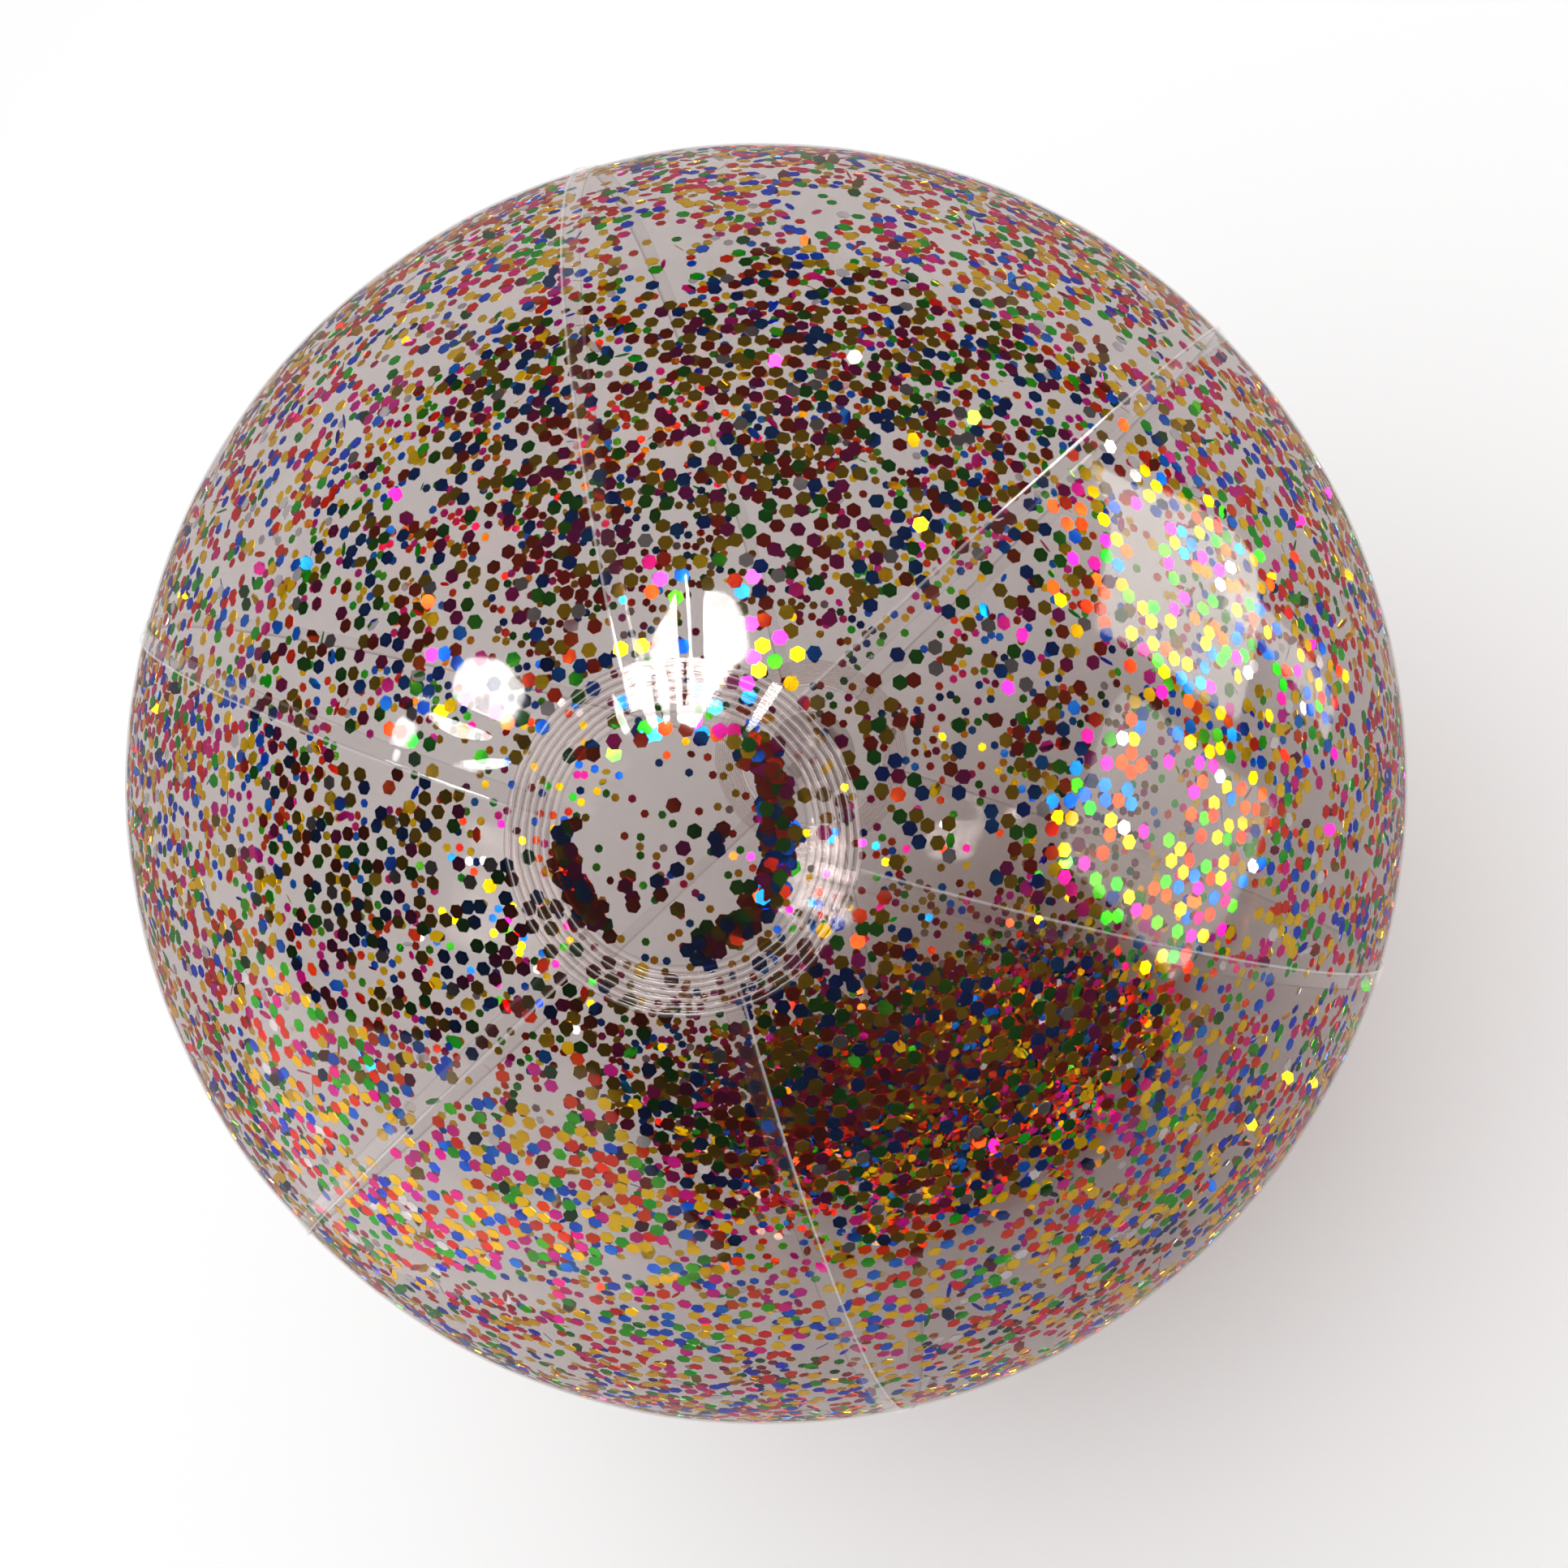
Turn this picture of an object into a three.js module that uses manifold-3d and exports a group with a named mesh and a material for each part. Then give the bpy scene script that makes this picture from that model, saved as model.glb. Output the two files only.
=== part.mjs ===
// A clear inflatable beach ball with loose foil glitter sealed inside.
// Six film panels lap over each other and are welded along the meridians. A ribbed round patch closes
// each end, and one end patch carries the push-in inflation valve.
// Millimetres, +Z up. The origin is where the ball touches the floor.
import * as THREE from "three";
import { mergeVertices } from "three/addons/utils/BufferGeometryUtils.js";
import Module from "manifold-3d";

const wasm = await Module();
wasm.setup();

// Ball
const ballRadius = 150;
const filmThickness = 0.3;
const weldGap = 0.2;
const floorSink = 2.2;

// Panels and their lap welds
const panelCount = 6;
const lapWidth = 4.5;
const joggleRun = 1.2;
const endOpeningRadius = 23;
const panelRows = 22;
const panelColumns = 8;
const restRow = 17;

// End patches
const endPatchRadius = 31;
const ribCount = 6;
const ribHeight = 0.4;
const patchSides = 32;
const patchRings = 3;

// Inflation valve, pushed in
const slideClearance = 0.3;
const stemRadius = 5;
const stemBore = 3.4;
const stemLength = 15;
const rimRadius = 6.8;
const rimThickness = 1.1;
const collarWall = 1.2;
const collarDepth = 4;
const flangeRadius = 14;
const flangeThickness = 1;
const flangeEdge = 0.5;
const plugLength = 5;
const plugHeadRadius = 6.2;
const plugHeadThickness = 1.4;
const gripLength = 3;
const strapReach = 10.5;
const strapWidth = 5;
const strapThickness = 0.9;
const flapRadius = 4.2;
const flapHingeReach = 4.5;
const flapHingeWidth = 3;
const flapThickness = 0.5;
const valveSides = 32;
const strapFoldSteps = 8;
const flapArcSteps = 24;
const plugTaperSteps = 5;

// Glitter
const flakeWidth = 2.9;
const flakeThickness = 0.2;
const flakeGap = 0.3;
const flakesPerPanel = 7;
const bareRows = 3;
const heapRadius = 7.4;
const heapCrowding = 0.44;
const heapTilt = THREE.MathUtils.degToRad(9);
const heapLayers = 2;
const heapLayerRise = 0.3;

// Layers of film at a weld, measured out from the ball's nominal surface
const lapLift = filmThickness + weldGap;
const patchSeat = lapLift + weldGap;
const patchTop = patchSeat + filmThickness;
const flangeSeat = patchTop + weldGap;

const panelAngle = (2 * Math.PI) / panelCount;
const openingPolar = Math.asin(endOpeningRadius / ballRadius);
const patchPolar = Math.asin(endPatchRadius / ballRadius);
const goldenAngle = Math.PI * (3 - Math.sqrt(5));

// The ball lies on the middle of its first panel, so its end-to-end axis leans over by this much.
const polarAt = (row) => openingPolar + ((Math.PI - 2 * openingPolar) * row) / panelRows;
const restPolar = polarAt(restRow);
const lean = Math.PI - restPolar;
const floorSide = new THREE.Vector3().setFromSphericalCoords(1, restPolar, 0);

// Finishes of the clear film, the welded end patches, the moulded valve and the foil
const filmFinish = { color: 0xe6e1e0, roughness: 0.08, metalness: 0, transparent: true, opacity: 0.25 };
const patchFinish = { color: 0xe2dedf, roughness: 0.12, metalness: 0, transparent: true, opacity: 0.3 };
const valveFinish = { color: 0xeceaea, roughness: 0.3, metalness: 0, transparent: true, opacity: 0.7 };
const foilFinish = (color) => ({ color, roughness: 0.25, metalness: 1 });
const mixedFoilColour = 0x7a4a38;
const glitterColours = {
  gold: 0xe8b400,
  red: 0xd0281c,
  blue: 0x1648c8,
  green: 0x1f9a2e,
  pink: 0xe0318c,
  silver: 0xd8d8dc,
};

// A point of the film at a height over the ball's nominal surface, pressed flat where it meets the floor.
function filmPoint(polar, azimuth, height) {
  const point = new THREE.Vector3().setFromSphericalCoords(ballRadius + height, polar, azimuth);
  const below = point.dot(floorSide) - (ballRadius - floorSink + height);
  if (below > 0) point.addScaledVector(floorSide, -below);
  return point;
}

// A closed sheet of film: an outer and an inner skin over one grid, joined round the four edges.
function filmSheet(rows, columns, place) {
  const positions = [];
  const triangles = [];
  for (const skin of [0, 1])
    for (let row = 0; row <= rows; row++)
      for (let column = 0; column <= columns; column++)
        positions.push(...place(row, column, skin).toArray());
  const at = (skin, row, column) => (skin * (rows + 1) + row) * (columns + 1) + column;
  const quad = (a, b, c, d) => triangles.push(a, b, c, a, c, d);
  for (let r = 0; r < rows; r++)
    for (let c = 0; c < columns; c++) {
      quad(at(0, r, c), at(0, r + 1, c), at(0, r + 1, c + 1), at(0, r, c + 1));
      quad(at(1, r, c), at(1, r, c + 1), at(1, r + 1, c + 1), at(1, r + 1, c));
    }
  for (let c = 0; c < columns; c++) {
    quad(at(0, 0, c), at(0, 0, c + 1), at(1, 0, c + 1), at(1, 0, c));
    quad(at(0, rows, c + 1), at(0, rows, c), at(1, rows, c), at(1, rows, c + 1));
  }
  for (let r = 0; r < rows; r++) {
    quad(at(0, r, 0), at(1, r, 0), at(1, r + 1, 0), at(0, r + 1, 0));
    quad(at(0, r, columns), at(0, r + 1, columns), at(1, r + 1, columns), at(1, r, columns));
  }
  const geometry = new THREE.BufferGeometry();
  geometry.setAttribute("position", new THREE.Float32BufferAttribute(positions, 3));
  geometry.setIndex(triangles);
  return geometry;
}

// The grid lines across a panel: its plain edge, the plain film, the joggle and the edge that laps over
// the next panel. Lap and joggle keep their width from end to end, so near the poles they take more azimuth.
function panelLine(column, polar) {
  const perMillimetre = 1 / (ballRadius * Math.sin(polar));
  const halfLap = (lapWidth / 2) * perMillimetre;
  const joggleEnd = panelAngle / 2 - halfLap - slideClearance * perMillimetre;
  const plainStart = -panelAngle / 2 + halfLap;
  const plainEnd = joggleEnd - joggleRun * perMillimetre;
  if (column === 0) return { azimuth: -panelAngle / 2 - halfLap, lift: 0 };
  if (column <= panelColumns + 1)
    return { azimuth: plainStart + ((plainEnd - plainStart) * (column - 1)) / panelColumns, lift: 0 };
  if (column === panelColumns + 2) return { azimuth: joggleEnd, lift: lapLift };
  return { azimuth: panelAngle / 2 + halfLap, lift: lapLift };
}

function panelPoint(panel, row, column, skin) {
  const line = panelLine(column, polarAt(row));
  return filmPoint(polarAt(row), panel * panelAngle + line.azimuth, line.lift - skin * filmThickness);
}

function panelGeometry(panel) {
  const place = (row, column, skin) => panelPoint(panel, row, column, skin);
  return filmSheet(panelRows, panelColumns + 3, place);
}

// Height over the nominal surface at an end, at a distance from the axis, for a layer that far out.
const domeHeight = (distance, layer) => Math.sqrt((ballRadius + layer) ** 2 - distance ** 2) - ballRadius;

// A round end patch, with its weld pressed in concentric ribs where it covers the panels' ends.
function endPatchGeometry(holeRadius) {
  const profile = [];
  const add = (distance, layer) => profile.push(new THREE.Vector2(distance, domeHeight(distance, layer)));
  const ribPitch = (endPatchRadius - endOpeningRadius) / ribCount;
  for (let ring = 0; ring <= patchRings; ring++)
    add(holeRadius + ((endOpeningRadius - holeRadius) * ring) / patchRings, patchSeat);
  add(endPatchRadius, patchSeat);
  add(endPatchRadius, patchTop);
  for (let rib = ribCount - 1; rib >= 0; rib--) {
    add(endOpeningRadius + (rib + 0.5) * ribPitch, patchTop + ribHeight);
    add(endOpeningRadius + rib * ribPitch, patchTop);
  }
  for (let ring = patchRings - 1; ring >= 0; ring--)
    add(holeRadius + ((endOpeningRadius - holeRadius) * ring) / patchRings, patchTop);
  if (holeRadius > 0) profile.push(profile[0].clone());
  return new THREE.LatheGeometry(profile, patchSides);
}

// Solids for booleans
function toSolid(geometry) {
  const bare = geometry.clone();
  bare.deleteAttribute("normal");
  bare.deleteAttribute("uv");
  const merged = mergeVertices(bare, 1e-4);
  return new wasm.Manifold(
    new wasm.Mesh({
      numProp: 3,
      vertProperties: new Float32Array(merged.attributes.position.array),
      triVerts: new Uint32Array(merged.index.array),
    }),
  );
}

function toGeometry(solid) {
  const mesh = solid.getMesh();
  const geometry = new THREE.BufferGeometry();
  geometry.setAttribute("position", new THREE.Float32BufferAttribute(mesh.vertProperties, 3));
  geometry.setIndex([...mesh.triVerts]);
  return geometry;
}

function joined(...geometries) {
  return toGeometry(geometries.map(toSolid).reduce((whole, next) => whole.add(next)));
}

// Valve heights, measured out along the end-to-end axis from the nominal surface at the end
const collarBore = stemRadius + slideClearance;
const collarRadius = collarBore + collarWall;
const patchHole = collarRadius + slideClearance;
const flangeTop = domeHeight(collarRadius, flangeSeat) + flangeThickness;
const rimBottom = flangeTop + slideClearance;
const rimTop = rimBottom + rimThickness;
const stemBottom = rimTop - stemLength;
const plugHeadBottom = rimTop + slideClearance;
const strapHinge = (rimTop + plugHeadBottom) / 2;
const flapTop = stemBottom - slideClearance;

function valveBaseGeometry() {
  const underside = domeHeight(flangeRadius, flangeSeat);
  const profile = [
    [collarBore, -collarDepth],
    [collarRadius, -collarDepth],
    [collarRadius, domeHeight(collarRadius, flangeSeat)],
    [flangeRadius, underside],
    [flangeRadius, underside + flangeEdge],
    [collarRadius + flangeThickness, flangeTop],
    [collarBore, flangeTop],
    [collarBore, -collarDepth],
  ];
  return new THREE.LatheGeometry(profile.map((p) => new THREE.Vector2(...p)), valveSides);
}

// A flat tongue from a rim or head out to the fold of the strap, with its fold end rounded.
function tongueGeometry(from, bottom) {
  const shape = new THREE.Shape();
  const half = strapWidth / 2;
  shape.moveTo(from, -half);
  shape.lineTo(strapReach - half, -half);
  shape.absarc(strapReach - half, 0, half, -Math.PI / 2, Math.PI / 2, false);
  shape.lineTo(from, half);
  shape.closePath();
  const sheet = { depth: strapThickness, bevelEnabled: false, curveSegments: strapFoldSteps };
  return new THREE.ExtrudeGeometry(shape, sheet).rotateX(-Math.PI / 2).translate(0, bottom, 0);
}

function valveStemGeometry() {
  const profile = [
    [stemBore, stemBottom],
    [stemRadius, stemBottom],
    [stemRadius, rimBottom],
    [rimRadius, rimBottom],
    [rimRadius, rimTop],
    [stemBore, rimTop],
    [stemBore, stemBottom],
  ];
  const tube = new THREE.LatheGeometry(profile.map((p) => new THREE.Vector2(...p)), valveSides);
  return joined(tube, tongueGeometry((stemRadius + rimRadius) / 2, rimBottom));
}

// The plug narrows just enough that its far side clears the bore's mouth while it swings about the fold.
function plugRadiusAt(depth) {
  const swing = Math.sqrt((strapReach + stemBore) ** 2 - (depth + strapHinge - rimTop) ** 2);
  return swing - strapReach - slideClearance;
}

function valvePlugGeometry() {
  const profile = [new THREE.Vector2(0, rimTop - plugLength)];
  for (let step = plugTaperSteps; step >= 0; step--) {
    const depth = (plugLength * step) / plugTaperSteps;
    profile.push(new THREE.Vector2(plugRadiusAt(depth), rimTop - depth));
  }
  profile.push(new THREE.Vector2(plugRadiusAt(0), plugHeadBottom));
  profile.push(new THREE.Vector2(plugHeadRadius, plugHeadBottom));
  profile.push(new THREE.Vector2(plugHeadRadius, plugHeadBottom + strapThickness));
  profile.push(new THREE.Vector2(plugHeadRadius - strapThickness, plugHeadBottom + plugHeadThickness));
  profile.push(new THREE.Vector2(0, plugHeadBottom + plugHeadThickness));
  const head = new THREE.LatheGeometry(profile, valveSides);
  const gripRoot = plugHeadRadius / 2;
  const gripWhole = gripRoot + gripLength;
  const grip = new THREE.BoxGeometry(gripWhole, strapThickness, strapWidth);
  grip.translate(-gripRoot - gripWhole / 2, plugHeadBottom + strapThickness / 2, 0);
  return joined(head, tongueGeometry(plugHeadRadius / 2, plugHeadBottom), grip);
}

// The one-way flap: a disc under the stem's inner end, hung on a short tab at its edge.
function checkFlapGeometry() {
  const shape = new THREE.Shape();
  const tabAngle = Math.asin(flapHingeWidth / 2 / flapRadius);
  shape.moveTo(flapHingeReach, flapHingeWidth / 2);
  shape.absarc(0, 0, flapRadius, tabAngle, 2 * Math.PI - tabAngle, false);
  shape.lineTo(flapHingeReach, -flapHingeWidth / 2);
  shape.closePath();
  const sheet = { depth: flapThickness, bevelEnabled: false, curveSegments: flapArcSteps };
  const flap = new THREE.ExtrudeGeometry(shape, sheet);
  return flap.rotateX(-Math.PI / 2).translate(0, flapTop - flapThickness, 0);
}

// One piece of the ball, with its name and a material of its own.
function named(name, geometry, finish) {
  const mesh = new THREE.Mesh(geometry, new THREE.MeshStandardMaterial(finish));
  mesh.name = name;
  return mesh;
}

const flakeGeometry = () => new THREE.CylinderGeometry(flakeWidth / 2, flakeWidth / 2, flakeThickness, 6);

// The middle of one facet of a panel's inner skin, and the direction from it into the ball.
function facetInside(panel, row, column) {
  const corner = (r, c) => panelPoint(panel, row + r, column + c, 1);
  const a = corner(0, 0);
  const c = corner(1, 1);
  const centre = a.clone().add(corner(0, 1)).add(corner(1, 0)).add(c).multiplyScalar(1 / 4);
  const along = c.clone().sub(a);
  const across = corner(0, 1).sub(corner(1, 0));
  return { centre, inward: across.cross(along).normalize() };
}

// Places a flake flat on a facet, clear of the film by the flake gap.
function clingingFlake(name, colour, panel, row, column, spin) {
  const mesh = named(name, flakeGeometry(), foilFinish(colour));
  const seat = facetInside(panel, row, column);
  mesh.quaternion.setFromUnitVectors(new THREE.Vector3(0, 1, 0), seat.inward);
  mesh.rotateY(spin);
  mesh.position.copy(seat.centre).addScaledVector(seat.inward, flakeGap + flakeThickness / 2);
  return mesh;
}

// Loose flakes that have slid to the lowest place and lie over each other, layer on layer.
// They stay on the part of the film that is pressed flat, packed closer than their own width.
function heapGeometry() {
  const middle = panelPoint(0, restRow, panelColumns / 2 + 1, 1);
  const beside = panelPoint(0, restRow, panelColumns / 2 + 2, 1);
  const spread = Math.min(heapRadius, middle.distanceTo(beside) - flakeWidth);
  const heapPitch = heapCrowding * flakeWidth;
  const dip = (flakeWidth / 2) * Math.sin(heapTilt) + flakeThickness / 2;
  let whole = null;
  for (let layer = 0; layer < heapLayers; layer++) {
    const reach = spread * (1 - layer / heapLayers);
    const count = Math.floor((reach / heapPitch) ** 2);
    for (let i = 0; i < count; i++) {
      const distance = heapPitch * Math.sqrt(i + 0.5);
      const turn = i * goldenAngle + layer;
      const flake = flakeGeometry();
      flake.rotateY(turn * 2);
      flake.rotateX(heapTilt * Math.cos(i + layer));
      flake.rotateZ(heapTilt * Math.sin(i * 2 + layer));
      flake.translate(
        distance * Math.cos(turn),
        flakeGap + dip * Math.SQRT2 + layer * heapLayerRise,
        distance * Math.sin(turn),
      );
      const solid = toSolid(flake);
      whole = whole ? whole.add(solid) : solid;
    }
  }
  // Pockets shut in between the layers count as solid.
  return toGeometry(whole.decompose().filter((body) => body.volume() > 0).reduce((a, b) => a.add(b)));
}

// The ball is made standing on end, with the plain patch up along +Y, and then laid over.
const ball = new THREE.Group();
for (let panel = 0; panel < panelCount; panel++)
  ball.add(named(`panel_${panel + 1}`, panelGeometry(panel), filmFinish));

const plainPatch = named("plain_end_patch", endPatchGeometry(0), patchFinish);
plainPatch.position.y = ballRadius;
ball.add(plainPatch);

const valve = new THREE.Group();
valve.position.y = -ballRadius;
valve.rotation.x = Math.PI;
valve.add(named("valve_end_patch", endPatchGeometry(patchHole), patchFinish));
valve.add(named("valve_base", valveBaseGeometry(), valveFinish));
valve.add(named("valve_stem", valveStemGeometry(), valveFinish));
valve.add(named("valve_plug", valvePlugGeometry(), valveFinish));
valve.add(named("check_flap", checkFlapGeometry(), valveFinish));
ball.add(valve);

const colourNames = Object.keys(glitterColours);
for (let panel = 0; panel < panelCount; panel++)
  for (let i = 0; i < flakesPerPanel; i++) {
    const colour = colourNames[(i + panel) % colourNames.length];
    const row = bareRows + ((i * 3 + panel * 2) % (panelRows - 2 * bareRows));
    const column = 1 + ((i * 3 + panel) % panelColumns);
    const name = `flake_${colour}_${panel + 1}_${i + 1}`;
    ball.add(clingingFlake(name, glitterColours[colour], panel, row, column, i * goldenAngle));
  }

const heap = named("glitter_heap", heapGeometry(), foilFinish(mixedFoilColour));
heap.quaternion.setFromUnitVectors(new THREE.Vector3(0, 1, 0), floorSide.clone().negate());
heap.position.copy(floorSide).multiplyScalar(ballRadius - floorSink - filmThickness);
ball.add(heap);

ball.rotation.x = Math.PI / 2 + lean;
ball.position.z = ballRadius - floorSink;

const beachBall = new THREE.Group();
beachBall.add(ball);

export default beachBall;
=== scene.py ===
# %% [markdown]
# # A clear beach ball with foil glitter inside
#
# The ball is six panels of clear film, lapped and welded along six seams, with a round ribbed patch over
# each end. Thousands of small foil hexagons are loose inside: many cling to the film, and a heap of them
# has slid to the lowest place. The first cell loads the CAD parts, which give the size and the place of
# everything.

import math
import random
from itertools import product

import bpy
import numpy as np
from mathutils import Matrix, Vector, noise


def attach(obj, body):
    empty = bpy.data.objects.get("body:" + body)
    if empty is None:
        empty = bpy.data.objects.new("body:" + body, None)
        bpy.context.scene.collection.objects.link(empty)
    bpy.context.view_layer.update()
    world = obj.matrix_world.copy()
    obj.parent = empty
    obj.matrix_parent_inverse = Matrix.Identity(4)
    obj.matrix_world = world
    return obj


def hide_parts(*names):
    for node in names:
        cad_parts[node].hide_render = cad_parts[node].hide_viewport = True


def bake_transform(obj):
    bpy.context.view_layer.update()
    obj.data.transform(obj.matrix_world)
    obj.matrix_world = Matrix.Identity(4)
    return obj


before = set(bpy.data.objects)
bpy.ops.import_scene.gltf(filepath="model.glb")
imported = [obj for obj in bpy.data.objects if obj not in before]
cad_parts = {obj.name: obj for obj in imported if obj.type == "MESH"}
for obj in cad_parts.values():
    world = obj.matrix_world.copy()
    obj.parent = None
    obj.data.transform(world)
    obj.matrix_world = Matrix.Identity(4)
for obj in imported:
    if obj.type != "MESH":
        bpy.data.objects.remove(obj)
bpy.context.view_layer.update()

# %% [markdown]
# The ball lies on its side a little: the axis from end patch to end patch leans over. It is easiest to
# model the ball standing on end, with that axis along Z and its middle at the origin, and to lay each
# piece over when it is done. The same goes for the valve, which is modelled pointing up and then set on
# the far end.

# %% The ball's size and the two placing matrices
BALL_RADIUS = 0.150
FILM = 0.0003
FLOOR_SINK = 0.0022
LEAN = math.radians(45.72)
LAY_OVER = Matrix.Translation((0, 0, BALL_RADIUS - FLOOR_SINK)) @ Matrix.Rotation(LEAN, 4, "X")
ON_FAR_END = LAY_OVER @ Matrix.Translation((0, 0, -BALL_RADIUS)) @ Matrix.Rotation(math.pi, 4, "X")
BALL_CENTRE = LAY_OVER.translation.copy()
print("ball centre", [round(v, 4) for v in BALL_CENTRE])

# %% [markdown]
# The photograph was taken from close by, nearly along the ball's axis. The camera is made now, because
# the places of the glitter are described as they are seen in the photograph, and each one is then put on
# the film that it is seen on. Right and up are the picture's own directions on the ball.

# %% Camera
PHOTO_SIDE = 1932
PHOTO_FOCAL = 2401
PHOTO_CENTRE = (944.2, 965.5)
SENSOR_WIDTH = 36
NEAR_CLIP = 0.01
CAMERA_AWAY = 3.2 * BALL_RADIUS
to_camera = Vector((0.114, -0.726, 0.678)).normalized()
picture_up = Vector((0.685, 0.552, 0.476))
picture_up = (picture_up - to_camera * picture_up.dot(to_camera)).normalized()
picture_right = picture_up.cross(to_camera)
camera_data = bpy.data.cameras.new("photo_camera")
camera = bpy.data.objects.new("photo_camera", camera_data)
bpy.context.scene.collection.objects.link(camera)
camera_data.sensor_width = SENSOR_WIDTH
camera_data.lens = SENSOR_WIDTH * PHOTO_FOCAL / PHOTO_SIDE
camera_data.shift_x = (PHOTO_SIDE / 2 - PHOTO_CENTRE[0]) / PHOTO_SIDE
camera_data.clip_start = NEAR_CLIP
turn = Matrix((picture_right, picture_up, to_camera)).transposed().to_4x4()
camera.matrix_world = Matrix.Translation(BALL_CENTRE + to_camera * CAMERA_AWAY) @ turn
bpy.context.scene.camera = camera
print("lens", round(camera_data.lens, 2), "mm")


# %% Where a pixel of the photograph lies on the ball
def on_ball(pixel_x, pixel_y, far=False):
    """The direction from the ball's middle to the film seen at a pixel, on the near or the far side."""
    ray = picture_right * (pixel_x - PHOTO_CENTRE[0]) - picture_up * (pixel_y - PHOTO_CENTRE[1])
    ray = (ray / PHOTO_FOCAL - to_camera).normalized()
    start = to_camera * CAMERA_AWAY
    half = -start.dot(ray)
    inside = half * half - start.dot(start) + BALL_RADIUS**2
    reach = half + math.sqrt(max(inside, 0)) * (1 if far else -1)
    return (start + ray * reach).normalized()


def seen_at(direction):
    """The pixel where a point of the film is seen, and whether it is on the near side."""
    point = direction * BALL_RADIUS
    depth = CAMERA_AWAY - point.dot(to_camera)
    x = PHOTO_CENTRE[0] + PHOTO_FOCAL * point.dot(picture_right) / depth
    y = PHOTO_CENTRE[1] - PHOTO_FOCAL * point.dot(picture_up) / depth
    return x, y, point.dot(to_camera) > BALL_RADIUS**2 / CAMERA_AWAY


def mirrored(pixel):
    """The direction from which light reaches the camera by way of the film at a pixel."""
    surface = on_ball(*pixel)
    eye = (to_camera * CAMERA_AWAY - surface * BALL_RADIUS).normalized()
    return 2 * surface.dot(eye) * surface - eye


# %% [markdown]
# Small helpers keep the cells short. Everything is deselected before a piece is started, since an
# operator acts on all that is selected. A turned piece is a profile spun about Z, as a potter would do
# it. Its doubled points at the start of the turn are merged and its faces are turned outwards.

# %% Helpers for making pieces
MERGE_REACH = 1e-6


def deselect_all():
    if bpy.context.object and bpy.context.object.mode != "OBJECT":
        bpy.ops.object.mode_set(mode="OBJECT")
    bpy.ops.object.select_all(action="DESELECT")


def take(piece):
    deselect_all()
    piece.select_set(True)
    bpy.context.view_layer.objects.active = piece


def edit(piece, select="SELECT"):
    take(piece)
    bpy.ops.object.mode_set(mode="EDIT")
    bpy.ops.mesh.select_all(action=select)


def profile_piece(name, points, closed=False):
    """A new piece that is only a line of points in the XZ plane, to be spun or extruded."""
    mesh = bpy.data.meshes.new(name)
    count = len(points)
    lines = [(i, i + 1) for i in range(count - 1)] + ([(count - 1, 0)] if closed else [])
    mesh.from_pydata([(r, 0, z) for r, z in points], lines, [])
    piece = bpy.data.objects.new(name, mesh)
    bpy.context.scene.collection.objects.link(piece)
    return piece


def turned_piece(name, points, steps, closed=False):
    piece = profile_piece(name, points, closed)
    edit(piece)
    bpy.ops.mesh.spin(steps=steps, angle=2 * math.pi, center=(0, 0, 0), axis=(0, 0, 1))
    bpy.ops.mesh.select_all(action="SELECT")
    bpy.ops.mesh.remove_doubles(threshold=MERGE_REACH)
    bpy.ops.mesh.normals_make_consistent(inside=False)
    bpy.ops.object.mode_set(mode="OBJECT")
    return piece


def apply_modifier(piece, kind, **settings):
    take(piece)
    modifier = piece.modifiers.new(kind.lower(), kind)
    for key, value in settings.items():
        setattr(modifier, key, value)
    bpy.ops.object.modifier_apply(modifier=modifier.name)


def place(piece, matrix):
    """Moves a piece to its place and puts the place into its mesh."""
    take(piece)
    piece.matrix_world = matrix
    bpy.ops.object.transform_apply(location=True, rotation=True, scale=True)


def smooth(piece, degrees):
    take(piece)
    bpy.ops.object.shade_smooth_by_angle(angle=math.radians(degrees))


def finish_piece(piece, body, material, *nodes):
    piece.data.materials.clear()
    piece.data.materials.append(material)
    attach(piece, body)
    if nodes:
        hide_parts(*nodes)


# %% [markdown]
# Clear film is not glass: it is too thin to bend the view behind it. So the light goes straight through,
# a little greyer at each skin, and only the part that the surface mirrors is added on top. That part
# grows towards the edge of the ball, as on any glossy skin. A slow noise makes the film a little cloudy
# in places and bends its reflections, as slack film does. The valve is thicker than the film, so its
# plastic is milkier. On the pressed ribs of the welds, painted shade darkens each valley and a painted
# milky sheen lights each crest, in place of the light that the ribs would bend.

# %% Material of the clear film
def add_node(tree, kind, **inputs):
    node = tree.nodes.new(kind)
    for key, value in inputs.items():
        node.inputs[key.replace("_", " ")].default_value = value
    return node


def colour_ramp(tree, factor, places, colours):
    """A ramp from one colour to another, each at its own place on the scale."""
    ramp = tree.nodes.new("ShaderNodeValToRGB")
    for stop, place_on, colour in zip(ramp.color_ramp.elements, places, colours):
        stop.position = place_on
        stop.color = (*colour, 1)
    tree.links.new(factor, ramp.inputs["Fac"])
    return ramp.outputs["Color"]


# Tints along the ring's ribs: painted shade darkens each valley, and the inner skin is lightened so that the
# ring stays about as clear as the film. The crests get a painted milky sheen.
RING_START = 0.1
PAINTED_RIB_SHADE_TINTS = [(0.08, 1.0), (RING_START, 0.80), (0.20, 0.96), (0.30, 1.17), (1.0, 1.17)]
CREST_START = 0.82
CREST_PAINTED_SHEEN = 0.42


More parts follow.
